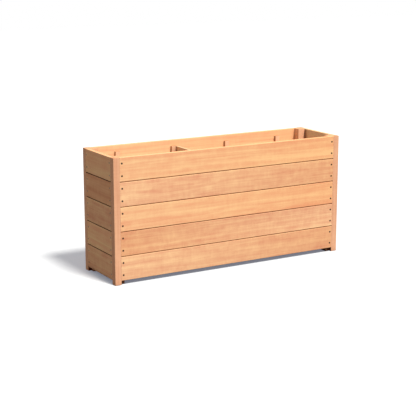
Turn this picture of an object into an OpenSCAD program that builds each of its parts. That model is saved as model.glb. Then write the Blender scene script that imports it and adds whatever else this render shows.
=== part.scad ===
// Long wooden planter: tongue-and-groove plank walls housed in four rabbeted corner posts.
// The posts run down past the walls as feet, battens stiffen the long walls from inside,
// a cross tie holds them together, and the floor boards lie on two ledgers.
// Origin: centre of the footprint on the ground. X runs along the length, Y to the back, Z up.

/* [Planter] */
// Outer length, from end face to end face
length = 1600; // [1200:10:1900]
// Outer depth, from front face to back face
depth = 420; // [360:5:600]
// Open height under the lowest planks
foot_gap = 26; // [15:1:50]

/* [Wall planks] */
// Number of planks in the height of each wall
planks_high = 5; // [3:1:6]
// Height of one plank's visible face
face_h = 143; // [120:0.5:170]
// Thickness of the wall planks
plank_t = 21; // [18:0.5:26]
// Open joint that shows between two planks
shadow_gap = 5; // [1.5:0.5:6]
// Height that the top plank loses where its tongue is sawn off
top_trim = 1; // [0:0.5:8]
// Thickness of the tongue
tongue_t = 6; // [4:0.5:7]
// Length of tongue that is held in the groove
tongue_hold = 6; // [4:0.5:8]
// Play on each side of the tongue
tongue_play = 0.3; // [0.1:0.1:0.6]
// Room left in the groove above the tongue
groove_room = 1; // [0.5:0.25:2]
// Gap between a plank's end and the post beside it
end_gap = 0.5; // [0.2:0.1:2]

/* [Corner posts] */
// Width of the square corner posts
post_size = 70; // [62:1:80]
// Width of post that shows beside the planks
post_face = 40; // [36:1:44]
// Size of the bevel round the foot of a post
foot_bevel = 2; // [1:0.5:4]

/* [Battens and tie] */
// Number of battens on each long wall
battens_long = 4; // [3:1:5]
// Width of a batten
batten_w = 30; // [24:1:40]
// Thickness of a batten
batten_t = 18; // [15:0.5:23]
// Distance from the rim down to the top of the battens and the tie
rim_drop = 38.5; // [25:0.5:60]
// Thickness of the cross tie
tie_t = 15; // [12:0.5:20]
// Height of the cross tie, which stands on edge
tie_h = 145; // [100:1:180]
// Play between the ends of the tie and the walls
tie_play = 0.5; // [0.2:0.1:2]

/* [Floor] */
// Number of floor boards
floor_count = 10; // [8:1:12]
// Thickness of a floor board
floor_t = 21; // [18:0.5:26]
// Drainage gap between floor boards
floor_gap = 10; // [5:0.5:14]
// Play between the floor boards and the walls or posts
floor_play = 2; // [1:0.5:4]
// Width of a floor ledger, measured out from the wall
ledger_w = 45; // [40:1:48]
// Height of a floor ledger
ledger_h = 45; // [38:1:60]
// Gap between the ends of a ledger and the posts
ledger_gap = 1; // [0.5:0.5:4]

/* [Screws] */
// Diameter of a screw head
head_d = 9.8; // [8:0.2:11]
// Diameter of a screw's plain shank
shank_d = 3.6; // [3:0.1:4]
// Height of the straight rim of a screw head
head_rim = 0.5; // [0.3:0.1:0.8]
// Depth that a screw head lies below the wood
head_sink = 0.3; // [0.1:0.1:0.6]
// Play round a screw in its pilot hole and countersink
screw_play = 0.05; // [0.03:0.01:0.1]
// Diameter of the clearance holes
clear_d = 5.2; // [4.6:0.1:6]
// Length of the wall screws
wall_screw_l = 45; // [38:1:48]
// Length of the batten screws
batten_screw_l = 30; // [26:1:33]
// Length of the ledger screws
ledger_screw_l = 60; // [54:1:62]
// Length of the floor screws
floor_screw_l = 40; // [32:1:44]
// Length of the tie screws
tie_screw_l = 35; // [28:1:40]
// Distance of the wall screws from the outer corner
screw_inset = 54; // [52:0.5:60]
// Height of the lower wall screw above its plank's lower edge
screw_low = 33; // [25:0.5:45]
// Distance between the two screws of one plank end
screw_pair = 74; // [50:1:85]
// Number of screws along each ledger
ledger_screw_count = 6; // [4:1:8]

/* [Edges] */
// Radius of the eased edges on planks, posts and battens
ease_r = 2; // [1:0.25:3]

/* [Hidden] */

// Roundness of the eased edges and of the screws
$fn = 32;

// Heights, from the ground up
pitch = face_h + shadow_gap;
rim_z = foot_gap + planks_high * pitch - shadow_gap - top_trim;
floor_z = foot_gap + ledger_h;
floor_top = floor_z + floor_t;
batten_top = rim_z - rim_drop;
tie_bottom = batten_top - tie_h;

// Clear space inside the walls
inner_l = length - 2 * plank_t;
inner_d = depth - 2 * plank_t;

// Tongue and groove, measured in from the face of a plank
tongue_u = (plank_t - tongue_t) / 2;
tongue_l = shadow_gap + tongue_hold;
tongue_tip = 1;
groove_u = tongue_u - tongue_play;
groove_w = tongue_t + 2 * tongue_play;
groove_d = tongue_hold + groove_room;

// Batten places along a long wall. The tie stands against the middle batten, or the one left of the middle
batten_step = inner_l / battens_long;
tie_batten = ceil(battens_long / 2);
tie_x = batten_x(tie_batten) + batten_w / 2;
batten_screw_up = face_h / 3;
batten_foot_edge = 25;

// Floor boards share the clear length between them
floor_w = (inner_l - (floor_count + 1) * floor_gap) / floor_count;
floor_screw_edge = 20;
floor_screw_y = depth / 2 - plank_t - (batten_t + ledger_w) / 2;

// Side of the square bar that cuts a bevel of foot_bevel
bevel_side = foot_bevel * sqrt(2);

// Screws
head_r = head_d / 2;
shank_r = shank_d / 2;
pilot_r = shank_r + screw_play;
cone_h = head_r - shank_r;
tip_l = 6;
tip_r = 0.3;
pilot_more = 1.5;
drive_l = 4.6;
drive_w = 1.2;
drive_d = 2;
tie_screw_edge = 30;
ledger_screw_z = foot_gap + ledger_h / 4;

// A cut that starts a little outside the wood
skin = 0.5;

// Tones of the planks, from the lowest up
plank_tones = ["#EAAE82", "#E8AB80", "#F4B985", "#EAAC80", "#F3BA86"];
post_color = "#E3A680";
batten_color = "#E6AA84";
floor_color = "#D79E70";
steel_color = "#3A3D44";

function plank_tone(i) = plank_tones[(i - 1) % len(plank_tones)];
function plank_z(i) = foot_gap + (i - 1) * pitch;
function batten_x(i) = -inner_l / 2 + batten_step * (i - 0.5);
function floor_x(i) = -inner_l / 2 + floor_gap + (i - 1) * (floor_w + floor_gap);
function ledger_span() = length - 2 * (post_size + ledger_gap);
function ledger_screw_x(k) = ledger_span() * ((k - 0.5) / ledger_screw_count - 0.5);
function screw_rows() = [for (i = [1:planks_high]) for (k = [0, 1]) plank_z(i) + screw_low + k * screw_pair];

// Height of the batten screws in plank i: the lowest is kept above the foot of the batten
function batten_row(i) = max(plank_z(i) + batten_screw_up, floor_top + batten_foot_edge);
function batten_rows() = [for (i = [1:planks_high]) batten_row(i)];

// Screw places of floor board i: kept clear of its edges and of the posts
function floor_screws_x(i) = let (free = ledger_span() / 2 - floor_screw_edge)
  [max(floor_x(i) + floor_screw_edge, -free), min(floor_x(i) + floor_w - floor_screw_edge, free)];

// Rectangle whose corners named in ease are rounded: [low left, low right, high left, high right]
module eased_rect(w, h, ease = [true, true, true, true], r = ease_r) {
  difference() {
    square([w, h]);
    for (k = [0:3]) if (ease[k]) {
      right = k % 2;
      high = floor(k / 2);
      translate([right * w, high * h]) mirror([right, 0]) mirror([0, high]) corner_waste(r);
    }
  }
}

// The waste that turns a square corner into a quarter round
module corner_waste(r) {
  difference() {
    translate([-skin, -skin]) square(r + skin);
    translate([r, r]) circle(r);
  }
}

// Section of a wall plank, its face at x = 0 and its lower edge at y = 0
module plank_section(lowest, highest) {
  h = highest ? face_h - top_trim : face_h;
  difference() {
    union() {
      eased_rect(plank_t, h, [true, false, true, highest]);
      if (!highest) tongue_section();
      if (!lowest) translate([groove_u + groove_w, -shadow_gap])
        square([plank_t - groove_u - groove_w, shadow_gap + ease_r]);
    }
    if (!lowest) translate([groove_u, -shadow_gap - skin]) square([groove_w, shadow_gap + skin + groove_d]);
  }
}

// Tongue with a bevelled tip, on top of a plank
module tongue_section() {
  translate([tongue_u, face_h]) polygon([
    [0, -ease_r], [tongue_t, -ease_r], [tongue_t, tongue_l - tongue_tip], [tongue_t - tongue_tip, tongue_l],
    [tongue_tip, tongue_l], [0, tongue_l - tongue_tip]
  ]);
}

// Stand a section up so that it runs along X: its x becomes Y and its y becomes Z
module along_x(l) {
  rotate([90, 0, 90]) linear_extrude(height = l, center = true) children();
}

// Places of the four walls. Each wall is drawn with its face at y = 0, looking to -Y, centred on x = 0
module at_front() { translate([0, -depth / 2, 0]) children(); }
module at_back() { rotate([0, 0, 180]) at_front() children(); }
module at_left() { rotate([0, 0, -90]) translate([0, -length / 2, 0]) children(); }
module at_right() { rotate([0, 0, 180]) at_left() children(); }

// Countersunk wood screw, its head at the origin and its point towards -Z. The thread is drawn as its core
module screw(l) {
  difference() {
    rotate_extrude() polygon([
      [0, 0], [0, -l], [tip_r, -l], [shank_r, tip_l - l],
      [shank_r, -head_rim - cone_h], [head_r, -head_rim], [head_r, 0]
    ]);
    for (a = [0, 90]) rotate([0, 0, a])
      translate([-drive_l / 2, -drive_w / 2, -drive_d]) cube([drive_l, drive_w, drive_d + skin]);
  }
}

// The hole for that screw in the piece that it pulls down, through a thickness t: countersunk at 45 degrees
module screw_clearance(t) {
  wide = head_r + screw_play;
  narrow = clear_d / 2;
  seat = -head_rim - head_sink;
  rotate_extrude() polygon([
    [0, skin], [0, -t - skin], [narrow, -t - skin], [narrow, seat - wide + narrow], [wide, seat], [wide, skin]
  ]);
}

// The pilot hole for that screw in the piece that it bites into, below a thickness t
module screw_pilot(l, t) {
  depth_in = l + head_sink + pilot_more;
  translate([0, 0, -depth_in]) cylinder(h = depth_in - t + skin, r = pilot_r);
}

// Turn the screw's -Z to +Y, into a wall from outside, or to -Y, out of a wall from inside
module point_in() { rotate([90, 0, 0]) children(); }
module point_out() { rotate([-90, 0, 0]) children(); }

// Wall screws of one wall whose outer length is l, at both ends of the given rows
module wall_screw_places(l, rows) {
  for (side = [-1, 1]) for (z = rows)
    translate([side * (l / 2 - screw_inset), 0, z]) point_in() children();
}

// Batten screws of a long wall, driven outwards from the face of the battens
module batten_screw_places(rows) {
  for (k = [1:battens_long]) for (z = rows)
    translate([batten_x(k), plank_t + batten_t, z]) point_out() children();
}

module ledger_screw_places() {
  for (k = [1:ledger_screw_count])
    translate([ledger_screw_x(k), plank_t + ledger_w, ledger_screw_z]) point_out() children();
}

// Tie screws, driven towards -X through the tie into the sides of a front and a back batten
module tie_screw_places() {
  for (side = [-1, 1]) for (z = [tie_bottom + tie_screw_edge, batten_top - tie_screw_edge])
    translate([tie_x + tie_t, side * (inner_d - batten_t) / 2, z]) rotate([0, 90, 0]) children();
}

module floor_screw_places(i) {
  for (x = floor_screws_x(i)) for (side = [-1, 1])
    translate([x, side * floor_screw_y, floor_top]) children();
}

// One plank of a wall whose outer length is l, in that wall's own place
module wall_plank(i, l, is_long) {
  rows = [for (k = [0, 1]) plank_z(i) + screw_low + k * screw_pair];
  difference() {
    translate([0, 0, plank_z(i)]) along_x(l - 2 * (post_face + end_gap)) plank_section(i == 1, i == planks_high);
    wall_screw_places(l, rows) screw_clearance(plank_t);
    if (is_long) batten_screw_places([batten_row(i)]) screw_pilot(batten_screw_l, batten_t);
    if (is_long && i == 1) ledger_screw_places() screw_pilot(ledger_screw_l, ledger_w);
  }
}

// Corner post with its outer corner at the origin: a square post with a rabbet for each wall
module post_section() {
  difference() {
    eased_rect(post_size, post_size, [true, false, false, true]);
    translate([post_face, -skin]) square([post_size, plank_t + skin]);
    translate([-skin, post_face]) square([plank_t + skin, post_size]);
  }
}

module corner_post() {
  difference() {
    linear_extrude(height = rim_z) post_section();
    foot_bevels();
    for (z = screw_rows()) {
      translate([screw_inset, 0, z]) point_in() screw_pilot(wall_screw_l, plank_t);
      translate([0, screw_inset, z]) rotate([0, -90, 0]) screw_pilot(wall_screw_l, plank_t);
    }
  }
}

// Bevel along the two outer edges of a foot
module foot_bevels() {
  for (a = [0, 90]) rotate([0, 0, a]) mirror([0, a / 90, 0])
    translate([-skin, 0, -foot_bevel]) rotate([45, 0, 0])
      cube([post_size + 2 * skin, bevel_side, bevel_side]);
}

module post_at(side_x, side_y) {
  color(post_color) mirror([side_x > 0 ? 1 : 0, 0, 0]) mirror([0, side_y > 0 ? 1 : 0, 0])
    translate([-length / 2, -depth / 2, 0]) corner_post();
}

module front_plank(i) { color(plank_tone(i)) at_front() wall_plank(i, length, true); }
module back_plank(i) { color(plank_tone(i)) at_back() wall_plank(i, length, true); }
module left_end_plank(i) { color(plank_tone(i)) at_left() wall_plank(i, depth, false); }
module right_end_plank(i) { color(plank_tone(i)) at_right() wall_plank(i, depth, false); }

// Batten of a long wall, standing on the floor boards
module batten(k) {
  difference() {
    translate([batten_x(k) - batten_w / 2, plank_t, floor_top]) linear_extrude(height = batten_top - floor_top)
      eased_rect(batten_w, batten_t, [false, false, true, true]);
    for (z = batten_rows())
      translate([batten_x(k), plank_t + batten_t, z]) point_out() screw_clearance(batten_t);
  }
}

module front_batten(k) {
  color(batten_color) difference() {
    at_front() batten(k);
    if (k == tie_batten) tie_screw_places() screw_pilot(tie_screw_l, tie_t);
  }
}

module back_batten(k) {
  color(batten_color) difference() {
    mirror([0, 1, 0]) at_front() batten(k);
    if (k == tie_batten) tie_screw_places() screw_pilot(tie_screw_l, tie_t);
  }
}

module cross_tie() {
  color(batten_color) difference() {
    translate([tie_x, 0, tie_bottom]) rotate([90, 0, 0])
      linear_extrude(height = inner_d - 2 * tie_play, center = true) eased_rect(tie_t, tie_h);
    tie_screw_places() screw_clearance(tie_t);
  }
}

module ledger() {
  difference() {
    translate([0, plank_t, foot_gap]) along_x(ledger_span()) eased_rect(ledger_w, ledger_h, [false, true, false, false]);
    ledger_screw_places() screw_clearance(ledger_w);
  }
}

module front_ledger() { color(floor_color) ledger_at(1); }
module back_ledger() { color(floor_color) ledger_at(-1); }

module ledger_at(side) {
  difference() {
    mirror([0, side > 0 ? 0 : 1, 0]) at_front() ledger();
    for (i = [1:floor_count]) floor_screw_places(i) screw_pilot(floor_screw_l, floor_t);
  }
}

// Floor board across the planter, cut round the posts where it meets them
module floor_board(i) {
  reach = post_size + floor_play;
  color(floor_color) difference() {
    translate([floor_x(i), 0, floor_z]) rotate([90, 0, 0])
      linear_extrude(height = inner_d - 2 * floor_play, center = true)
        eased_rect(floor_w, floor_t, [false, false, true, true]);
    for (sx = [-1, 1]) for (sy = [-1, 1])
      translate([sx * (length / 2 - reach / 2), sy * (depth / 2 - reach / 2), floor_z + floor_t / 2])
        cube([reach, reach, floor_t + 2 * skin], center = true);
    floor_screw_places(i) screw_clearance(floor_t);
  }
}

module sunk_screw(l) { color(steel_color) translate([0, 0, -head_sink]) screw(l); }
module wall_screws(l) { wall_screw_places(l, screw_rows()) sunk_screw(wall_screw_l); }
module batten_screws() { batten_screw_places(batten_rows()) sunk_screw(batten_screw_l); }

module ledger_screws() {
  for (side = [0, 1]) mirror([0, side, 0]) at_front() ledger_screw_places() sunk_screw(ledger_screw_l);
}

module floor_screws() {
  for (i = [1:floor_count]) floor_screw_places(i) sunk_screw(floor_screw_l);
}

post_at(-1, -1);  // corner_post_front_left
post_at(1, -1);  // corner_post_front_right
post_at(-1, 1);  // corner_post_back_left
post_at(1, 1);  // corner_post_back_right
for (i = [1:planks_high]) {
  front_plank(i);
  back_plank(i);
  left_end_plank(i);
  right_end_plank(i);
}
for (i = [1:battens_long]) {
  front_batten(i);
  back_batten(i);
}
cross_tie();
front_ledger();
back_ledger();
for (i = [1:floor_count]) {
  floor_board(i);
}
at_front() wall_screws(length);  // front_wall_screws
at_back() wall_screws(length);  // back_wall_screws
at_left() wall_screws(depth);  // left_end_screws
at_right() wall_screws(depth);  // right_end_screws
at_front() batten_screws();  // front_batten_screws
mirror([0, 1, 0]) at_front() batten_screws();  // back_batten_screws
tie_screw_places() sunk_screw(tie_screw_l);  // tie_screws
ledger_screws();
floor_screws();
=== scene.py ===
"""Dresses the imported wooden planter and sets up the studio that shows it.

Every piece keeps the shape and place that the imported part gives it. Each post, plank, batten and board
gets its own cut of bare planed hardwood, and the screws get dark steel. A plain white studio shows them,
with one steep key light, an even surround and a camera at the photograph's viewing angle.
"""

import logging
import math
from collections.abc import Iterator
from dataclasses import dataclass, replace
from enum import Enum

import bpy
import numpy as np
from mathutils import Euler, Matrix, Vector


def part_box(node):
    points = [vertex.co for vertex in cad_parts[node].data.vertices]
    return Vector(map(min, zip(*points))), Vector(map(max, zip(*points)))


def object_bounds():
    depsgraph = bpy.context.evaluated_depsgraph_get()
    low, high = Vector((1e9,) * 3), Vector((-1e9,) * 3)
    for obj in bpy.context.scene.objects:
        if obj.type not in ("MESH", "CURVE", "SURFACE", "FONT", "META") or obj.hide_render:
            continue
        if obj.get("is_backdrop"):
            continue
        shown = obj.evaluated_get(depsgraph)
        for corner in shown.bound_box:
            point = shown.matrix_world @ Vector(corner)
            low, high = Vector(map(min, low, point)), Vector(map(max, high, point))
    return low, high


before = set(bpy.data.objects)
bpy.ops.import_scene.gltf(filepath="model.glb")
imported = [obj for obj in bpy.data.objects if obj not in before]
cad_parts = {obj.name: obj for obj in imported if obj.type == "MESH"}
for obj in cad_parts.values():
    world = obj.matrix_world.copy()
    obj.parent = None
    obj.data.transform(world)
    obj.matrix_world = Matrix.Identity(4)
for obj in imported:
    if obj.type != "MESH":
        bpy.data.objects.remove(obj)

log = logging.getLogger("planter")

Tree = bpy.types.NodeTree
Socket = bpy.types.NodeSocket

MM = 0.001

# Sockets of Blender's Mix node when it mixes two colours
MIX_A = 6
MIX_B = 7
MIX_RESULT = 2

# Settings that several nodes share
COLOUR_MIX = {"data_type": "RGBA"}
COLOUR_PRODUCT = {"data_type": "RGBA", "blend_type": "MULTIPLY"}
SMOOTH_STEP = {"interpolation_type": "SMOOTHSTEP"}

# Where pieces are sawn from their logs
LOG_STEP_MM = 3700.0
NEAREST_OUT_MM = 45.0
OUT_SPREAD_MM = 90.0
ASIDE_SPREAD_MM = 120.0
ASIDE_START = 0.3

# Means of the patterns: a noise, and the growth rings, which are a third power
NOISE_MEAN = 0.5
RING_POWER = 3.0
RING_MEAN = 1 / (RING_POWER + 1)

# Noise seldom strays further than this from its mean
NOISE_REACH = 0.25
DRIFT_DIRECTION = (0.0, 1.0, -0.6)

# Share that a stripe keeps at the top end of its board
LEAST_STRIPE = 0.4

# Noise levels between which a pore opens, and how far it darkens the wood
PORE_FROM = 0.66
PORE_TO = 0.78
PORE_DEPTH = 0.4
PORE_TINT = "#A97B5C"

# Painted light: the straw tint of the wood inside the box, which takes out the warm cast of the light
# bounced there, by its depth below the outer faces
FRESH_FROM_MM = 14.0
FRESH_TO_MM = 20.0
INSIDE_LIGHT_TINT = "#E0D2A6"

# Faces that look up, by the Z of their normal, and the painted shade that darkens them
TOP_FACING = 0.7
TOP_SHADE_TINT = "#F9F7F3"

# End grain, by the part of the normal that lies along the log, and its rings
END_FROM = 0.6
END_TO = 0.95
LEAST_END_RING = 0.25
END_RING_TINT = "#EBD9C6"

# Eased edges: twice the product of the normal's two parts is 1 in their middle
MOST_PRODUCT = 0.5
EDGE_RUB = 0.16
RUBBED_TONE = "#FBDDA9"

# Painted shade: the tint that darkens the hollows, where little open air is seen
HOLLOW_SHADE_TINT = "#7A4B34"
# Blue-black tint of the dark ring round the screws of the long walls
SCREW_RING_TINT = "#44495C"

# Surface of planed wood and of end grain
LONG_ROUGHNESS = 0.56
END_ROUGHNESS = 0.85
WOOD_IOR = 1.5
WOOD_GLEAM = 0.03
FIBRE_RELIEF = 0.6
PORE_RELIEF = -0.8
WOOD_RELIEF_MM = 0.3
WOOD_RELIEF_SHARE = 0.5

# Surface of tumbled and plated steel
STEEL_ROUGHNESS = (0.3, 0.5)
STEEL_RELIEF_MM = 0.05
STEEL_RELIEF_SHARE = 0.3


def linear(hex_colour: str) -> tuple[float, float, float, float]:
    """Turn an sRGB hex colour into linear light.

    Args:
        hex_colour: a colour such as "#F4B886".

    Returns:
        Red, green, blue and alpha, as Blender's colour sockets take them.
    """
    srgb = np.array([int(hex_colour[i : i + 2], 16) for i in (1, 3, 5)]) / 255.0
    light = np.where(srgb <= 0.04045, srgb / 12.92, ((srgb + 0.055) / 1.055) ** 2.4)
    return (float(light[0]), float(light[1]), float(light[2]), 1.0)


def add_node(
    tree: Tree,
    kind: str,
    settings: dict[str, object] | None = None,
    inputs: dict[str | int, object] | None = None,
) -> bpy.types.Node:
    """Add one shader node with its settings and links.

    Args:
        tree: the node tree that takes the node.
        kind: the node's type, without the words that all shader nodes share, such as "Math".
        settings: values of the node's own properties.
        inputs: for each input socket, its value, or the output socket that feeds it.

    Returns:
        The new node.
    """
    node = tree.nodes.new("ShaderNode" + kind)
    for name, value in (settings or {}).items():
        setattr(node, name, value)
    for name, value in (inputs or {}).items():
        if isinstance(value, Socket):
            tree.links.new(value, node.inputs[name])
        else:
            node.inputs[name].default_value = value
    return node


def empty_material(name: str) -> bpy.types.Material:
    """Make a new material with an empty node tree.

    Args:
        name: the material's name.

    Returns:
        The material.
    """
    material = bpy.data.materials.new(name)
    material.use_nodes = True
    material.node_tree.nodes.clear()
    return material


class Grain(Enum):
    """The axis that a piece's fibres run along, and the turn in degrees that lays them along X."""

    ALONG_X = (0.0, 0.0, 0.0)
    ALONG_Y = (0.0, 0.0, -90.0)
    ALONG_Z = (0.0, 90.0, 0.0)

    @property
    def turn(self) -> Euler:
        """The turn from the planter's axes to the log's."""
        return Euler([math.radians(angle) for angle in self.value])


@dataclass(frozen=True)
class Cut:
    """Where a piece was sawn from its log, as the place of its middle.

    Attributes:
        shift_mm: distance along the log, so that no two pieces show the same stretch of it.
        out_mm: distance out from the heart of the log, square to a plank's broad face.
        aside_mm: distance to the side of the heart, across a plank's broad face.
    """

    shift_mm: float
    out_mm: float
    aside_mm: float

    @classmethod
    def numbered(cls, number: int) -> "Cut":
        """Give each piece its own cut: golden-ratio steps spread the hearts so that neighbours differ.

        Args:
            number: the piece's own number.

        Returns:
            A cut from 45 to 135 mm out and up to 60 mm to either side.
        """
        golden = (math.sqrt(5) - 1) / 2
        out_share = (number * golden) % 1
        aside_share = (number * golden * golden + ASIDE_START) % 1
        return cls(
            LOG_STEP_MM * number,
            NEAREST_OUT_MM + OUT_SPREAD_MM * out_share,
            ASIDE_SPREAD_MM * (aside_share - 0.5),
        )


@dataclass(frozen=True)
class Streaks:
    """A noise drawn out along the fibres.

    Attributes:
        length_mm: usual length of a streak.
        width_mm: usual width of a streak.
        detail: octaves of finer streaks within it.
    """

    length_mm: float
    width_mm: float
    detail: float = 1.0

    def share(self, tree: Tree, log_point: Socket) -> Socket:
        """Read noise at the log point divided by the streak's length and width.

        Args:
            tree: the material's node tree.
            log_point: the point in the log's own axes, in metres.

        Returns:
            The noise, which runs from 0 to 1 with its mean at 0.5.
        """
        per_metre = (1 / (self.length_mm * MM), 1 / (self.width_mm * MM), 1 / (self.width_mm * MM))
        scaled = add_node(tree, "VectorMath", {"operation": "MULTIPLY"}, {0: log_point, 1: per_metre})
        return add_node(
            tree, "TexNoise", inputs={"Vector": scaled.outputs[0], "Scale": 1.0, "Detail": self.detail}
        ).outputs[0]


@dataclass(frozen=True)
class Stripe:
    """A stripe along the fibres, which sapwood or a darker heart leaves in a sawn board.

    Attributes:
        place_mm: distance of its middle above the middle of the board.
        reach_mm: distance from its middle to where it has faded out.
        share: how far it takes the wood to the deep tone, or to the pale one if it is below zero.
    """

    place_mm: float
    reach_mm: float
    share: float


@dataclass(frozen=True)
class ScrewRing:
    """A blue-black ring that darkens the wood round the screws of a long wall.

    Attributes:
        share: how far it darkens the wood at the rim of a screw head, 0 to 1.
        inset_mm: distance of the screws from the outer corner.
        low_mm: height of the lowest screw above the ground.
        step_mm: distance from one screw up to the next.
        head_mm: radius of a screw head.
        reach_mm: distance from a screw's axis to where the ring has faded out.
    """

    share: float
    inset_mm: float = 54.0
    low_mm: float = 59.0
    step_mm: float = 74.0
    head_mm: float = 4.9
    reach_mm: float = 7.5

    def share_at(self, tree: Tree) -> Socket:
        """The ring falls from its share at head_mm to 0 at reach_mm, by a smooth step of r.

        Here r is the distance from the nearest screw's axis: sideways from |x| = half length - inset, and
        upwards from the rows, which repeat every step_mm.

        Args:
            tree: the material's node tree.

        Returns:
            The share of the ring, 0 to 1.
        """
        low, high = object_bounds()
        column = (high[0] - low[0]) / 2 - self.inset_mm * MM
        half_step = self.step_mm / 2
        point = add_node(tree, "TexCoord").outputs["Object"]
        x, _, z = add_node(tree, "SeparateXYZ", inputs={0: point}).outputs
        out = add_node(tree, "Math", {"operation": "ABSOLUTE"}, {0: x})
        aside = add_node(tree, "Math", {"operation": "SUBTRACT"}, {0: out.outputs[0], 1: column})
        raised = add_node(tree, "Math", {"operation": "ADD"}, {0: z, 1: (half_step - self.low_mm) * MM})
        row = add_node(
            tree, "Math", {"operation": "FLOORED_MODULO"}, {0: raised.outputs[0], 1: self.step_mm * MM}
        )
        above = add_node(tree, "Math", {"operation": "SUBTRACT"}, {0: row.outputs[0], 1: half_step * MM})
        offset = add_node(tree, "CombineXYZ", inputs={0: aside.outputs[0], 1: above.outputs[0]})
        radius = add_node(tree, "VectorMath", {"operation": "LENGTH"}, {0: offset.outputs[0]})
        return add_node(
            tree,
            "MapRange",
            SMOOTH_STEP,
            {
                "Value": radius.outputs["Value"],
                "From Min": self.head_mm * MM,
                "From Max": self.reach_mm * MM,
                "To Min": self.share,
                "To Max": 0.0,
            },
        ).outputs[0]


@dataclass(frozen=True)
class HollowShade:
    """Painted shade, which darkens a hollow the more, the less open air is seen from it.

    Attributes:
        share: how far it darkens the deepest hollows, 0 to 1.
        full_air: share of open air up to which a hollow is as dark as it gets.
        unshaded_air: share of open air from which on a face stays unshaded.
        reach_mm: distance within which anything solid shuts out the open air.
        samples: directions in which it looks for open air.
    """

    share: float = 0.85
    full_air: float = 0.35
    unshaded_air: float = 0.85
    reach_mm: float = 60.0
    samples: int = 8

    def share_at(self, tree: Tree) -> Socket:
        """The painted shade falls from its share at full_air to 0 at unshaded_air, in a straight line.

        Args:
            tree: the material's node tree.

        Returns:
            The share of dust, 0 to 1.
        """
        open_air = add_node(
            tree, "AmbientOcclusion", {"samples": self.samples}, {"Distance": self.reach_mm * MM}
        )
        return add_node(
            tree,
            "MapRange",
            inputs={
                "Value": open_air.outputs["AO"],
                "From Min": self.full_air,
                "From Max": self.unshaded_air,
                "To Min": self.share,
                "To Max": 0.0,
            },
        ).outputs[0]


@dataclass(frozen=True)
class Figure:
    """How far each pattern of a board takes it from its pale to its deep tone, as a share.

    Attributes:
        bands: long, even bands along the fibres.
        streaks: shorter streaks within the bands.
        clouds: soft clouds a few centimetres wide.
        curls: curly grain, which crosses the fibres.
        rings: growth rings.
        fibres: fine fibres.
        stripes: single stripes, which grow plainer towards the butt end.
    """

    bands: float
    streaks: float
    clouds: float
    curls: float
    rings: float = 0.16
    fibres: float = 0.3
    stripes: tuple[Stripe, ...] = ()


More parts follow.
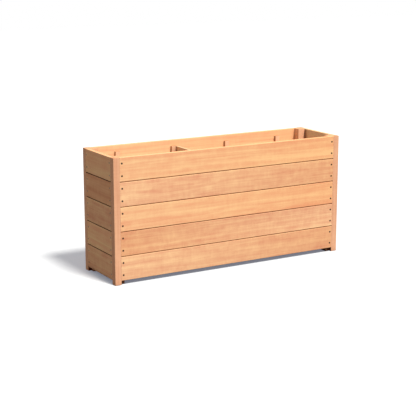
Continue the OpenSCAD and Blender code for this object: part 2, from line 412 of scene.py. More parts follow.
@dataclass(frozen=True)
class Timber:
    """Bare planed hardwood: a pale and a deep tone, mixed by the patterns of its figure.

    It gives the eye long soft bands and silky streaks along the fibres, clouds of a warmer tone, curly
    grain that shimmers across them, faint growth rings that the saw cut through, short dark pores, end
    grain with plainer rings, slightly rubbed edges, painted shade in the hollows, painted shade that
    slightly darkens the tops, a painted straw tint inside the box against the warm bounce light there,
    and a dark ring round the screws where it is asked for. The bands are about 28 mm wide, the streaks
    9 mm and the rings 5 mm, as wide as a board of this kind has them. The fibres are 1 mm wide and the
    pores 0.5 mm, coarser than real ones, so that they show from close by.

    Attributes:
        name: what the tone is called.
        pale: colour of the palest wood, at the top end and the upper edge of the board.
        deep: colour of the deepest wood there.
        figure: how strongly each pattern shows.
        butt_tint: what the colours are multiplied by at the butt end of the board.
        heart_tint: what the colours are multiplied by at the lower edge of the board, nearest the heart.
        inside_tint: how far the wood inside the box takes the painted straw tint that cancels the warm
            bounce light there, 0 to 1.
        hollow_shade: the painted shade in its hollows.
        screw_ring: the dark ring round its screws, if it has any.
        turned: whether the board is turned round, with its butt end to the left and its heart edge up.
        board_mm: length of board over which the butt tint grows.
        face_mm: height of board over which the heart tint grows.
        ring_mm: width of a growth ring.
        drift: how the heart of the log wanders.
        bands: size of the bands.
        streaks: size of the streaks.
        clouds: size of the clouds.
        curls: size of the curls.
        fibres: size of the fibres.
        pores: size of the pores.
        drift_mm: how far the heart of the log wanders to either side.
    """

    name: str
    pale: str
    deep: str
    figure: Figure
    butt_tint: str = "#FFFFFF"
    heart_tint: str = "#FFFFFF"
    inside_tint: float = 0.15
    hollow_shade: HollowShade = HollowShade()
    screw_ring: ScrewRing | None = None
    turned: bool = False
    board_mm: float = 1520.0
    face_mm: float = 143.0
    ring_mm: float = 5.0

    drift: Streaks = Streaks(length_mm=900, width_mm=120)
    bands: Streaks = Streaks(length_mm=2200, width_mm=28)
    streaks: Streaks = Streaks(length_mm=360, width_mm=9, detail=2)
    clouds: Streaks = Streaks(length_mm=85, width_mm=45, detail=2)
    curls: Streaks = Streaks(length_mm=15, width_mm=50)
    fibres: Streaks = Streaks(length_mm=60, width_mm=1.0, detail=2)
    pores: Streaks = Streaks(length_mm=7, width_mm=0.5)
    drift_mm: float = 16.0

    @property
    def side(self) -> int:
        """-1 for a board that is turned round, and else 1."""
        return -1 if self.turned else 1

    def material(self, piece: str, grain: Grain, cut: Cut, middle: Vector) -> bpy.types.Material:
        """Make the material of one piece.

        Args:
            piece: the piece's name.
            grain: the way its fibres run.
            cut: where it was sawn from its log.
            middle: the middle of the piece, in metres.

        Returns:
            The material, with the log's patterns laid through the solid piece.
        """
        material = empty_material(f"planed_hardwood_{self.name}_{piece}")
        tree = material.node_tree
        log_point, log_normal = self._log_axes(tree, grain, cut, middle)
        wandering = self._drifted(tree, log_point)
        butt_share, heart_share = self._place_shares(tree, log_point, cut)
        rings = self._rings(tree, wandering)
        fine = self.fibres.share(tree, log_point)
        pores = self._pores(tree, log_point)
        shade = self._shade(tree, log_point, wandering, rings, fine)
        shade = self._striped(tree, shade, wandering, cut, butt_share)
        colour = self._colour(tree, shade, butt_share, heart_share, pores)
        colour = self._shaded_top(tree, self._inside_light_tint(tree, colour))
        colour, end_share = self._end_and_edge(tree, colour, rings, log_normal)
        colour = self._darkened(tree, colour)
        roughness = add_node(
            tree,
            "MapRange",
            inputs={"Value": end_share, "To Min": LONG_ROUGHNESS, "To Max": END_ROUGHNESS},
        )
        surface = add_node(
            tree,
            "BsdfPrincipled",
            inputs={
                "Base Color": colour,
                "Roughness": roughness.outputs[0],
                "IOR": WOOD_IOR,
                "Specular IOR Level": WOOD_GLEAM,
                "Normal": self._relief(tree, rings, fine, pores),
            },
        )
        add_node(tree, "OutputMaterial", inputs={"Surface": surface.outputs[0]})
        return material

    @staticmethod
    def _log_axes(tree: Tree, grain: Grain, cut: Cut, middle: Vector) -> tuple[Socket, Socket]:
        """Turn a piece's points and normals into the axes of its log, with the heart along X.

        Args:
            tree: the material's node tree.
            grain: the way the piece's fibres run.
            cut: where the piece was sawn.
            middle: the middle of the piece, in metres.

        Returns:
            The point in the log, in metres, and the surface normal in the log's axes.
        """
        turned_middle = middle.copy()
        turned_middle.rotate(grain.turn)
        place = Vector((cut.shift_mm, cut.out_mm, cut.aside_mm)) * MM - turned_middle
        coordinates = add_node(tree, "TexCoord")
        point = add_node(
            tree,
            "Mapping",
            inputs={"Vector": coordinates.outputs["Object"], "Location": place, "Rotation": grain.turn},
        )
        normal = add_node(
            tree,
            "Mapping",
            {"vector_type": "VECTOR"},
            {"Vector": coordinates.outputs["Normal"], "Rotation": grain.turn},
        )
        return point.outputs[0], normal.outputs[0]

    def _drifted(self, tree: Tree, log_point: Socket) -> Socket:
        """Let the heart of the log wander sideways by about drift_mm as it grows upwards.

        Args:
            tree: the material's node tree.
            log_point: the point in the log, in metres.

        Returns:
            The point in the log whose heart wanders: point + direction x (noise - mean) x drift / reach.
        """
        wander = self.drift.share(tree, log_point)
        centred = add_node(tree, "Math", {"operation": "SUBTRACT"}, {0: wander, 1: NOISE_MEAN})
        aside = add_node(
            tree,
            "VectorMath",
            {"operation": "SCALE"},
            {0: DRIFT_DIRECTION, "Scale": centred.outputs[0]},
        )
        reach = self.drift_mm * MM / NOISE_REACH
        return add_node(
            tree,
            "VectorMath",
            {"operation": "MULTIPLY_ADD"},
            {0: aside.outputs[0], 1: (0.0, reach, reach), 2: log_point},
        ).outputs[0]

    def _place_shares(self, tree: Tree, log_point: Socket, cut: Cut) -> tuple[Socket, Socket]:
        """How near a point is to the butt end and to the heart edge of its board, 0 to 1 from end to end.

        Args:
            tree: the material's node tree.
            log_point: the point in the log, in metres.
            cut: where the piece was sawn.

        Returns:
            The share along the board and the share across it.
        """
        x, _, z = add_node(tree, "SeparateXYZ", inputs={0: log_point}).outputs
        spans = (
            (x, cut.shift_mm, self.side * self.board_mm / 2),
            (z, cut.aside_mm, -self.side * self.face_mm / 2),
        )
        along, across = (
            add_node(
                tree,
                "MapRange",
                inputs={"Value": part, "From Min": (middle - half) * MM, "From Max": (middle + half) * MM},
            ).outputs[0]
            for part, middle, half in spans
        )
        return along, across

    def _rings(self, tree: Tree, log_point: Socket) -> Socket:
        """Darkness of the growth rings: the part of r / ring_mm past its whole number, to RING_POWER.

        Here r is the distance from the heart, so each ring darkens slowly outwards and ends at once.

        Args:
            tree: the material's node tree.
            log_point: the point in the log, with its heart wandering, in metres.

        Returns:
            The darkness, 0 to 1.
        """
        across = add_node(
            tree, "VectorMath", {"operation": "MULTIPLY"}, {0: log_point, 1: (0.0, 1.0, 1.0)}
        )
        radius = add_node(tree, "VectorMath", {"operation": "LENGTH"}, {0: across.outputs[0]})
        count = add_node(
            tree, "Math", {"operation": "DIVIDE"}, {0: radius.outputs["Value"], 1: self.ring_mm * MM}
        )
        part = add_node(tree, "Math", {"operation": "FRACT"}, {0: count.outputs[0]})
        return add_node(
            tree, "Math", {"operation": "POWER"}, {0: part.outputs[0], 1: RING_POWER}
        ).outputs[0]

    def _pores(self, tree: Tree, log_point: Socket) -> Socket:
        """Pores: the rare high peaks of a fine noise, as short dark dashes along the fibres.

        Args:
            tree: the material's node tree.
            log_point: the point in the log, in metres.

        Returns:
            The pores, 0 to 1.
        """
        return add_node(
            tree,
            "MapRange",
            SMOOTH_STEP,
            {"Value": self.pores.share(tree, log_point), "From Min": PORE_FROM, "From Max": PORE_TO},
        ).outputs[0]

    def _shade(
        self, tree: Tree, log_point: Socket, wandering: Socket, rings: Socket, fine: Socket
    ) -> Socket:
        """Add up the patterns: 1/2, and for each its share times its distance from its mean.

        Args:
            tree: the material's node tree.
            log_point: the point in the log, in metres.
            wandering: the same point, with the heart of the log wandering.
            rings: darkness of the growth rings, 0 to 1.
            fine: the fine fibres, 0 to 1.

        Returns:
            The shade, where 0 is the pale tone and 1 the deep one.
        """
        figure = self.figure
        patterns = (
            (self.bands.share(tree, wandering), figure.bands, NOISE_MEAN),
            (self.streaks.share(tree, wandering), figure.streaks, NOISE_MEAN),
            (self.clouds.share(tree, log_point), figure.clouds, NOISE_MEAN),
            (self.curls.share(tree, log_point), figure.curls, NOISE_MEAN),
            (rings, figure.rings, RING_MEAN),
            (fine, figure.fibres, NOISE_MEAN),
        )
        shade = 0.5 - sum(share * mean for _, share, mean in patterns)
        for pattern, share, _ in patterns:
            shade = add_node(
                tree, "Math", {"operation": "MULTIPLY_ADD"}, {0: pattern, 1: share, 2: shade}
            ).outputs[0]
        return shade

    def _striped(
        self, tree: Tree, shade: Socket, wandering: Socket, cut: Cut, butt_share: Socket
    ) -> Socket:
        """Add the single stripes: the smooth step of 1 - d / reach, which grows with the butt share.

        Here d is the distance from the stripe's middle, in the log whose heart wanders. At the top end
        of the board a stripe keeps LEAST_STRIPE of its strength.

        Args:
            tree: the material's node tree.
            shade: the shade of the other patterns.
            wandering: the point in the log, with its heart wandering, in metres.
            cut: where the piece was sawn.
            butt_share: how near the point is to the butt end, 0 to 1.

        Returns:
            The shade of all the patterns, kept from 0 to 1.
        """
        across = add_node(tree, "SeparateXYZ", inputs={0: wandering}).outputs["Z"]
        growth = add_node(tree, "MapRange", inputs={"Value": butt_share, "To Min": LEAST_STRIPE})
        for stripe in self.figure.stripes:
            middle = (cut.aside_mm + self.side * stripe.place_mm) * MM
            offset = add_node(tree, "Math", {"operation": "SUBTRACT"}, {0: across, 1: middle})
            distance = add_node(tree, "Math", {"operation": "ABSOLUTE"}, {0: offset.outputs[0]})
            height = add_node(
                tree,
                "MapRange",
                SMOOTH_STEP,
                {
                    "Value": distance.outputs[0],
                    "From Max": stripe.reach_mm * MM,
                    "To Min": stripe.share,
                    "To Max": 0.0,
                },
            )
            shade = add_node(
                tree,
                "Math",
                {"operation": "MULTIPLY_ADD"},
                {0: height.outputs[0], 1: growth.outputs[0], 2: shade},
            ).outputs[0]
        return add_node(tree, "Clamp", inputs={0: shade}).outputs[0]

    def _colour(
        self, tree: Tree, shade: Socket, butt_share: Socket, heart_share: Socket, pores: Socket
    ) -> Socket:
        """Mix the two tones by the shade, tint the butt end and the heart edge, and set in the pores.

        Args:
            tree: the material's node tree.
            shade: the shade of the patterns, 0 to 1.
            butt_share: how near the point is to the butt end, 0 to 1.
            heart_share: how near the point is to the heart edge, 0 to 1.
            pores: the pores, 0 to 1.

        Returns:
            The colour of the long grain.
        """
        depth = add_node(tree, "Math", {"operation": "MULTIPLY"}, {0: pores, 1: PORE_DEPTH})
        tints = (
            (butt_share, self.butt_tint),
            (heart_share, self.heart_tint),
            (depth.outputs[0], PORE_TINT),
        )
        colour = add_node(
            tree, "Mix", COLOUR_MIX, {0: shade, MIX_A: linear(self.pale), MIX_B: linear(self.deep)}
        ).outputs[MIX_RESULT]
        for share, tint in tints:
            colour = add_node(
                tree, "Mix", COLOUR_PRODUCT, {0: share, MIX_A: colour, MIX_B: linear(tint)}
            ).outputs[MIX_RESULT]
        return colour

    def _inside_light_tint(self, tree: Tree, colour: Socket) -> Socket:
        """Painted light: turn the wood inside the box towards straw, against the warm bounce light there: a
        smooth step of d, times sheltered.

        Here d is the distance in from the nearest of the box's four upright faces, and the step goes
        from FRESH_FROM_MM to FRESH_TO_MM.

        Args:
            tree: the material's node tree.
            colour: the colour of the long grain.

        Returns:
            The colour with its painted straw tint inside.
        """
        low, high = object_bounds()
        half = tuple((top - bottom) / 2 for bottom, top in zip(low, high))
        point = add_node(tree, "TexCoord").outputs["Object"]
        reach = add_node(tree, "VectorMath", {"operation": "ABSOLUTE"}, {0: point})
        depths = add_node(tree, "VectorMath", {"operation": "SUBTRACT"}, {0: half, 1: reach.outputs[0]})
        from_end, from_side, _ = add_node(tree, "SeparateXYZ", inputs={0: depths.outputs[0]}).outputs
        depth = add_node(tree, "Math", {"operation": "MINIMUM"}, {0: from_end, 1: from_side})
        share = add_node(
            tree,
            "MapRange",
            SMOOTH_STEP,
            {
                "Value": depth.outputs[0],
                "From Min": FRESH_FROM_MM * MM,
                "From Max": FRESH_TO_MM * MM,
                "To Max": self.inside_tint,
            },
        )
        return add_node(
            tree, "Mix", COLOUR_MIX, {0: share.outputs[0], MIX_A: colour, MIX_B: linear(INSIDE_LIGHT_TINT)}
        ).outputs[MIX_RESULT]

    @staticmethod
    def _shaded_top(tree: Tree, colour: Socket) -> Socket:
        """Painted shade: darken the rim and the tops by a smooth step of the normal's Z, from TOP_FACING to
        1.

        Args:
            tree: the material's node tree.
            colour: the colour of the long grain.

        Returns:
            The colour with its painted shade on the tops.
        """
        normal = add_node(tree, "TexCoord").outputs["Normal"]
        height = add_node(tree, "SeparateXYZ", inputs={0: normal}).outputs["Z"]
        share = add_node(tree, "MapRange", SMOOTH_STEP, {"Value": height, "From Min": TOP_FACING})
        return add_node(
            tree, "Mix", COLOUR_PRODUCT, {0: share.outputs[0], MIX_A: colour, MIX_B: linear(TOP_SHADE_TINT)}
        ).outputs[MIX_RESULT]

    @staticmethod
    def _end_and_edge(
        tree: Tree, colour: Socket, rings: Socket, log_normal: Socket
    ) -> tuple[Socket, Socket]:
        """Draw the rings plainer on the end grain and rub the eased edges paler.

        End grain is where the normal lies along the log. An eased edge is where the normal has two
        parts across the log at once, so their product peaks in the middle of the quarter round.

        Args:
            tree: the material's node tree.
            colour: the colour of the long grain.
            rings: darkness of the growth rings, 0 to 1.
            log_normal: the surface normal in the log's axes.

        Returns:
            The finished colour, and the share of end grain, 0 to 1.
        """
        along, out, aside = add_node(tree, "SeparateXYZ", inputs={0: log_normal}).outputs
        facing = add_node(tree, "Math", {"operation": "ABSOLUTE"}, {0: along})
        end_share = add_node(
            tree,
            "MapRange",
            SMOOTH_STEP,
            {"Value": facing.outputs[0], "From Min": END_FROM, "From Max": END_TO},
        ).outputs[0]
        ringed = add_node(tree, "MapRange", inputs={"Value": rings, "To Min": LEAST_END_RING})
        end_rings = add_node(
            tree, "Math", {"operation": "MULTIPLY"}, {0: ringed.outputs[0], 1: end_share}
        )
        product = add_node(tree, "Math", {"operation": "MULTIPLY"}, {0: out, 1: aside})
        size = add_node(tree, "Math", {"operation": "ABSOLUTE"}, {0: product.outputs[0]})
        rubbed = add_node(
            tree,
            "MapRange",
            inputs={"Value": size.outputs[0], "From Max": MOST_PRODUCT, "To Max": EDGE_RUB},
        )
        darker = add_node(
            tree,
            "Mix",
            COLOUR_PRODUCT,
            {0: end_rings.outputs[0], MIX_A: colour, MIX_B: linear(END_RING_TINT)},
        )
        paler = add_node(
            tree,
            "Mix",
            COLOUR_MIX,
            {0: rubbed.outputs[0], MIX_A: darker.outputs[MIX_RESULT], MIX_B: linear(RUBBED_TONE)},
        )
        return paler.outputs[MIX_RESULT], end_share

    def _darkened(self, tree: Tree, colour: Socket) -> Socket:
        """Darken the hollows with painted shade, and the wood round the screws where it has a dark ring.

        Args:
            tree: the material's node tree.
            colour: the colour before this darkening.

        Returns:
            The colour with its painted shade and screw rings.
        """
        for mark, tint in ((self.hollow_shade, HOLLOW_SHADE_TINT), (self.screw_ring, SCREW_RING_TINT)):
            if mark is not None:
                colour = add_node(
                    tree,
                    "Mix",
                    COLOUR_PRODUCT,
                    {0: mark.share_at(tree), MIX_A: colour, MIX_B: linear(tint)},
                ).outputs[MIX_RESULT]
        return colour

    @staticmethod
    def _relief(tree: Tree, rings: Socket, fine: Socket, pores: Socket) -> Socket:
        """Relief of the planed face: hard late wood stands up, fibres lift and pores sink.

        Args:
            tree: the material's node tree.
            rings: darkness of the growth rings, 0 to 1.
            fine: the fine fibres, 0 to 1.
            pores: the pores, 0 to 1.

        Returns:
            The normal of the surface at a height of rings + FIBRE_RELIEF x fine + PORE_RELIEF x pores.
        """
        raised = add_node(
            tree, "Math", {"operation": "MULTIPLY_ADD"}, {0: fine, 1: FIBRE_RELIEF, 2: rings}
        )
        height = add_node(
            tree, "Math", {"operation": "MULTIPLY_ADD"}, {0: pores, 1: PORE_RELIEF, 2: raised.outputs[0]}
        )
        return add_node(
            tree,
            "Bump",
            inputs={
                "Strength": WOOD_RELIEF_SHARE,
                "Distance": WOOD_RELIEF_MM * MM,
                "Height": height.outputs[0],
            },
        ).outputs[0]


@dataclass(frozen=True)
class ScrewSteel:
    """Steel with a black zinc plating, cold headed and tumbled: small dark dots with a dull gleam.

    Attributes:
        name: what this copy of the steel is called.
        dark: colour of the plating in the hollows.
        light: colour of the plating where tumbling has rubbed it.
        grain_mm: size of the tumbling marks, coarser than real ones, so that they show from close by.
        detail: octaves of finer marks within them.
    """

    name: str = "fresh"
    dark: str = "#0B0C0F"
    light: str = "#1A1C21"
    grain_mm: float = 0.6
    detail: float = 2.0

    def material(self) -> bpy.types.Material:
        """Make the material of a group of screws: a noise of grain_mm turns dark to light.

        Returns:
            The material, whose roughness and relief follow the same noise.
        """
        material = empty_material(f"black_zinc_plated_steel_screws_{self.name}")
        tree = material.node_tree
        marks = add_node(
            tree,
            "TexNoise",
            inputs={
                "Vector": add_node(tree, "TexCoord").outputs["Object"],
                "Scale": 1 / (self.grain_mm * MM),
                "Detail": self.detail,
            },
        ).outputs[0]
        colour = add_node(
            tree, "Mix", COLOUR_MIX, {0: marks, MIX_A: linear(self.dark), MIX_B: linear(self.light)}
        )
        smoothest, roughest = STEEL_ROUGHNESS
        roughness = add_node(
            tree, "MapRange", inputs={"Value": marks, "To Min": smoothest, "To Max": roughest}
        )
        bump = add_node(
            tree,
            "Bump",
            inputs={
                "Strength": STEEL_RELIEF_SHARE,
                "Distance": STEEL_RELIEF_MM * MM,
                "Height": marks,
            },
        )
        surface = add_node(
            tree,
            "BsdfPrincipled",
            inputs={
                "Base Color": colour.outputs[MIX_RESULT],
                "Metallic": 1.0,
                "Roughness": roughness.outputs[0],
                "Normal": bump.outputs[0],
            },
        )
        add_node(tree, "OutputMaterial", inputs={"Surface": surface.outputs[0]})
        return material


# The plating, and a shaded copy for the ends, painted to the tone of the shaded wood round it as a painted
# reflection of the bright surround
FRESH = ScrewSteel()
SHADED_SIDE_STEEL = ScrewSteel("shaded_side", dark="#5C5047", light="#786A5E")

# Painted shade for the hollows of the two ends, whose joints are darker than those of the front in the
# photograph
END_HOLLOW_SHADE = HollowShade(1.0, full_air=0.55, unshaded_air=0.9)

# Kinds of board, as the photograph shows them: striped ones, and a cloudy and curly one
STRIPED = Figure(bands=1.3, streaks=1.2, clouds=0.7, curls=0.4, fibres=0.4)
SAP_LOW = replace(STRIPED, stripes=(Stripe(-24, 24, -0.35), Stripe(56, 30, 0.3)))
SAP_MIDDLE = replace(STRIPED, stripes=(Stripe(-2, 24, -0.35), Stripe(-54, 30, 0.4)))
CLOUDY = Figure(bands=1.1, streaks=1.1, clouds=1.05, curls=0.5)

# Tones of the boards
ORANGE = Timber("orange", pale="#FBCB95", deep="#EEA97D", figure=SAP_LOW, butt_tint="#FFF6EC")
STRAW = Timber("straw", pale="#FBCB95", deep="#EEA97D", figure=SAP_MIDDLE, butt_tint="#FFF6ED")
ROSE = Timber(
    "rose", pale="#FFD19C", deep="#EAA880", figure=CLOUDY, butt_tint="#F5E9E1", heart_tint="#F7F1F3"
)
ROSE_TURNED = replace(ROSE, name="rose_turned", turned=True)
HONEY = replace(ORANGE, name="honey", pale="#FDCF9A", deep="#F2B086")
RUSSET = Timber("russet", pale="#EFB484", deep="#D9946A", figure=STRIPED)
POST = Timber(
    "post",
    pale="#EFB58D",
    deep="#DB9C77",
    figure=STRIPED,
    # painted shade, darkest in the recesses beside the feet
    hollow_shade=HollowShade(1.0, unshaded_air=0.55),
    ring_mm=4.0,
)
BATTEN = Timber("batten", pale="#F8C198", deep="#E7A883", figure=STRIPED, inside_tint=0.2, ring_mm=4.0)
TIE = replace(BATTEN, name="tie", pale="#EABD92", deep="#DAA57E")
BOARD = Timber("board", pale="#DDB48C", deep="#BE8E68", figure=CLOUDY, inside_tint=0.0)


@dataclass
class WoodenPieces:
    """Wooden nodes that one hand made: what they are, how their fibres run and where their cuts start.

    Attributes:
        first_cut: number of the first piece's cut.
        grain: the way the fibres run.
    """

    first_cut: int
    grain: Grain

    def pieces(self) -> Iterator[tuple[str, Timber]]:
        """Give each node's name and tone."""
        raise NotImplementedError

    def dress(self) -> list[str]:
        """Give every piece its own cut of timber.

        Returns:
            The names of the dressed nodes.
        """
        dressed = []
        for offset, (name, timber) in enumerate(self.pieces()):
            low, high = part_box(name)
            cut = Cut.numbered(self.first_cut + offset)
            material = timber.material(name, self.grain, cut, (low + high) / 2)
            put_on(name, material)
            dressed.append(name)
        return dressed


def put_on(name: str, material: bpy.types.Material) -> None:
    """Give every material slot of a node the material.

    Args:
        name: the node's name.
        material: its material.
    """
    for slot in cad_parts[name].material_slots:
        slot.material = material
    log.info("%s: %s", name, material.name)


@dataclass
class CornerPosts(WoodenPieces):
    """The four rabbeted corner posts, whose feet carry the planter."""

    def pieces(self) -> Iterator[tuple[str, Timber]]:
        """One post for each corner.

        Yields:
            The name and the tone of each post.
        """
        for end in ("front", "back"):
            for side in ("left", "right"):
                yield f"corner_post_{end}_{side}", POST


@dataclass
class PlankWall(WoodenPieces):
    """One wall of tongue-and-groove planks.

    Attributes:
        wall: the wall's name.
        inside_tint: how far its inner face takes the painted straw tint that cancels the warm bounce light
            inside, 0 to 1.
        hollow_shade: the painted shade in its joints.
        screw_ring: the dark ring round its screws, if it has any.
        tones: tones of its planks, from the lowest up.
    """

    wall: str = "front"
    inside_tint: float = 0.15
    hollow_shade: HollowShade = HollowShade(0.3)
    screw_ring: ScrewRing | None = ScrewRing(0.6)
    tones: tuple[Timber, ...] = (ROSE, ROSE_TURNED, STRAW, ROSE, ORANGE)

    def pieces(self) -> Iterator[tuple[str, Timber]]:
        """One plank for each row, from the lowest up.

        Yields:
            The name and the tone of each plank.
        """
        for row, tone in enumerate(self.tones, start=1):
            timber = replace(tone, inside_tint=self.inside_tint, hollow_shade=self.hollow_shade, screw_ring=self.screw_ring)
            yield f"{self.wall}_plank_{row}", timber


@dataclass
class EndWall(PlankWall):
    """An end wall, which differs from a long wall in its painted straw tint and painted shade, and has no
    ring round its screws.

    Attributes:
        inside_tint: as in a long wall, but its inner face takes more of the painted straw tint.
        hollow_shade: as in a long wall, but the painted shade in its joints is darker.
        screw_ring: it has no ring round its screws.
    """

    inside_tint: float = 0.6
    hollow_shade: HollowShade = END_HOLLOW_SHADE
    screw_ring: ScrewRing | None = None


@dataclass
class Battens(WoodenPieces):
    """The upright battens that stiffen the two long walls from inside.

    Attributes:
        on_each_wall: number of battens on each long wall.
    """

    on_each_wall: int = 4

    def pieces(self) -> Iterator[tuple[str, Timber]]:
        """One batten for each place.

        Yields:
            The name and the tone of each batten.
        """
        for wall in ("front", "back"):
            for place in range(self.on_each_wall):
                yield f"{wall}_batten_{place + 1}", BATTEN


@dataclass
class CrossTie(WoodenPieces):
    """The board on edge that ties the long walls together."""

    def pieces(self) -> Iterator[tuple[str, Timber]]:
        """The tie."""
        yield "cross_tie", TIE


@dataclass
class Ledgers(WoodenPieces):
    """The two ledgers that carry the floor."""

    def pieces(self) -> Iterator[tuple[str, Timber]]:
        """One ledger for each long wall."""
        yield "front_ledger", BOARD
        yield "back_ledger", BOARD


@dataclass
class FloorBoards(WoodenPieces):
    """The floor boards across the planter, with drainage gaps between them.

    Attributes:
        boards: number of boards.
    """

    boards: int = 10

    def pieces(self) -> Iterator[tuple[str, Timber]]:
        """One board after the other, from the left."""
        for board in range(self.boards):
            yield f"floor_board_{board + 1}", BOARD


@dataclass
class Screws:
    """The countersunk screws that hold one kind of piece, or stand in one kind of wall.

    Attributes:
        steel: their finish.
        groups: names of the nodes that hold them.
    """

    steel: ScrewSteel
    groups: tuple[str, ...]

    def dress(self) -> list[str]:
        """Give every group the one steel.

        Returns:
            The names of the dressed nodes.
        """
        material = self.steel.material()
        for name in self.groups:
            put_on(name, material)
        return list(self.groups)


@dataclass(frozen=True)
class Lamp:
    """A far, round lamp.

    Attributes:
        name: what the lamp is for.
        to_lamp: direction from the planter to the lamp.
        level: light on a face that looks straight at it, where 1 shows a colour as it is written.
        width_deg: how wide the lamp looks from the planter, which softens its shadows.
    """

    name: str
    to_lamp: tuple[float, float, float]
    level: float
    width_deg: float

    def build(self) -> bpy.types.Object:
        """Add the lamp as a sun, whose strength is pi times its level.

        Returns:
            The lamp.
        """
        light = bpy.data.lights.new(self.name, "SUN")
        light.energy = math.pi * self.level
        light.angle = math.radians(self.width_deg)
        lamp = bpy.data.objects.new(self.name, light)
        lamp.rotation_euler = Vector(self.to_lamp).to_track_quat("Z", "Y").to_euler()
        bpy.context.scene.collection.objects.link(lamp)
        return lamp


@dataclass(frozen=True)
class Viewpoint:
    """The photograph's camera, in metres and degrees.

    Attributes:
        place: where the lens is.
        heading_deg: where it looks, turned from +Y towards +X.
        dip_deg: how far it looks down.
        lens_mm: focal length on a sensor 36 mm wide.
        reach_m: how far it sees.
    """

    place: tuple[float, float, float] = (-3.579, -6.010, 1.931)
    heading_deg: float = 30.43
    dip_deg: float = 12.845
    lens_mm: float = 98.65
    reach_m: float = 100.0

    def build(self) -> bpy.types.Object:
        """Add the camera, level from side to side, and make it the scene's.

        Returns:
            The camera.
        """
        data = bpy.data.cameras.new("photograph")
        data.lens = self.lens_mm
        data.clip_end = self.reach_m
        camera = bpy.data.objects.new("photograph", data)
        camera.location = self.place
        camera.rotation_euler = (
            math.radians(90 - self.dip_deg),
            0.0,
            math.radians(-self.heading_deg),
        )
        bpy.context.scene.collection.objects.link(camera)
        bpy.context.scene.camera = camera
        return camera


@dataclass(frozen=True)
class Paper:
    """Matt paper, which throws little light back but looks white.

    Attributes:
        thrown: its colour to the light.
        seen: its colour where it is seen.
        glow: colour of the faint cool glow that lifts its shadow where it is seen.
        glow_level: level of that glow.
    """

    thrown: str = "#3C3C3C"
    seen: str = "#CDCDC9"
    glow: str = "#D9DDF2"
    glow_level: float = 0.24


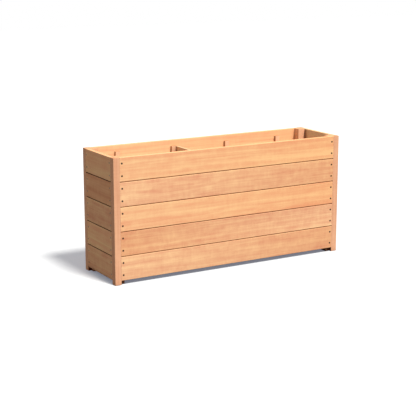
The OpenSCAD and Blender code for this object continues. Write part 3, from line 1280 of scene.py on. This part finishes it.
@dataclass
class Studio:
    """The white room: camera, key light, surround and floor.

    Attributes:
        floor_m: side of the square floor.
        floor_cells: cells along a side of the floor's grid.
        floor_drop_mm: how far the floor lies below the feet, so that their faces don't coincide.
        paper: what the floor is made of.
        surround: level of the even light from all round.
        viewpoint: the camera.
        key: the one lamp, which lights the planter from steeply above and in front.
    """

    floor_m: float = 40.0
    floor_cells: int = 8
    floor_drop_mm: float = 0.2
    paper: Paper = Paper()
    surround: float = 0.5
    viewpoint: Viewpoint = Viewpoint()
    key: Lamp = Lamp("key", (0.135, -0.62, 1.0), level=1.448, width_deg=12.0)

    def build(self) -> None:
        """Add the camera first, then the key light, the surround and the floor."""
        self.viewpoint.build()
        self.key.build()
        self._build_surround()
        self._build_floor()
        log.info("studio: camera, key light, surround and floor")

    @staticmethod
    def _seen_rays(tree: Tree) -> Socket:
        """1 for what the camera sees, straight or through a gleam or glass, and 0 for light on the planter.

        Args:
            tree: the node tree of the floor or the surround.

        Returns:
            The share of what is seen, 0 or 1.
        """
        path = add_node(tree, "LightPath").outputs
        gleam = add_node(
            tree,
            "Math",
            {"operation": "MAXIMUM"},
            {0: path["Is Glossy Ray"], 1: path["Is Transmission Ray"]},
        )
        return add_node(
            tree, "Math", {"operation": "MAXIMUM"}, {0: path["Is Camera Ray"], 1: gleam.outputs[0]}
        ).outputs[0]

    def _build_surround(self) -> None:
        """White where it is seen, and the even level of the surround where it lights the planter."""
        world = bpy.data.worlds.new("white_surround")
        world.use_nodes = True
        tree = world.node_tree
        tree.nodes.clear()
        light, white = (
            add_node(tree, "Background", inputs={"Color": linear("#FFFFFF"), "Strength": level})
            for level in (self.surround, 1.0)
        )
        both = add_node(
            tree,
            "MixShader",
            inputs={0: self._seen_rays(tree), 1: light.outputs[0], 2: white.outputs[0]},
        )
        add_node(tree, "OutputWorld", inputs={"Surface": both.outputs[0]})
        bpy.context.scene.world = world

    def _build_floor(self) -> None:
        """Lay the floor: a point at shares u, v of its side is ((u - 1/2), (v - 1/2)) times the side."""
        side = np.linspace(-0.5, 0.5, self.floor_cells + 1) * self.floor_m
        x, y = np.meshgrid(side, side, indexing="ij")
        z = np.full_like(x, -self.floor_drop_mm * MM)
        points = np.stack([x, y, z], axis=-1).reshape(-1, 3)
        number = np.arange(len(points)).reshape(x.shape)
        corners = (number[:-1, :-1], number[1:, :-1], number[1:, 1:], number[:-1, 1:])
        faces = np.stack(corners, axis=-1).reshape(-1, 4)
        mesh = bpy.data.meshes.new("studio_floor")
        mesh.from_pydata(points.tolist(), [], faces.tolist())
        mesh.materials.append(self._floor_material())
        floor = bpy.data.objects.new("studio_floor", mesh)
        bpy.context.scene.collection.objects.link(floor)
        floor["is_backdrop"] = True

    def _floor_material(self) -> bpy.types.Material:
        """Make the floor's paper: where it is seen, white and lifted by its glow, and dark to the light.

        Returns:
            The material.
        """
        material = empty_material("matt_white_paper_floor")
        tree = material.node_tree
        paper = self.paper
        thrown, seen = (
            add_node(tree, "BsdfDiffuse", inputs={"Color": linear(colour)}).outputs[0]
            for colour in (paper.thrown, paper.seen)
        )
        glow = add_node(
            tree, "Emission", inputs={"Color": linear(paper.glow), "Strength": paper.glow_level}
        )
        lifted = add_node(tree, "AddShader", inputs={0: seen, 1: glow.outputs[0]})
        both = add_node(
            tree,
            "MixShader",
            inputs={0: self._seen_rays(tree), 1: thrown, 2: lifted.outputs[0]},
        )
        add_node(tree, "OutputMaterial", inputs={"Surface": both.outputs[0]})
        return material


def main() -> None:
    """Build the studio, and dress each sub-assembly in turn."""
    logging.basicConfig(level=logging.INFO, format="%(name)s: %(message)s")
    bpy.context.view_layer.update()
    bpy.context.scene.view_settings.view_transform = "Standard"
    Studio().build()
    assemblies = (
        CornerPosts(1, Grain.ALONG_Z),
        PlankWall(5, Grain.ALONG_X, "front"),
        PlankWall(10, Grain.ALONG_X, "back", tones=(ROSE, ORANGE, ROSE_TURNED, ROSE, STRAW)),
        EndWall(50, Grain.ALONG_Y, "left_end", tones=(ROSE, HONEY, ROSE, RUSSET, HONEY)),
        EndWall(20, Grain.ALONG_Y, "right_end", tones=(ROSE, HONEY, ROSE, RUSSET, ORANGE)),
        Battens(25, Grain.ALONG_Z),
        CrossTie(33, Grain.ALONG_Y),
        Ledgers(34, Grain.ALONG_X),
        FloorBoards(36, Grain.ALONG_Y),
        Screws(FRESH, ("front_wall_screws", "back_wall_screws")),
        Screws(SHADED_SIDE_STEEL, ("left_end_screws", "right_end_screws")),
        Screws(FRESH, ("front_batten_screws", "back_batten_screws", "tie_screws")),
        Screws(FRESH, ("ledger_screws", "floor_screws")),
    )
    dressed = [name for assembly in assemblies for name in assembly.dress()]
    bare = set(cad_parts) - set(dressed)
    if bare:
        raise ValueError(f"no finish for {sorted(bare)}")


if __name__ == "__main__":
    main()
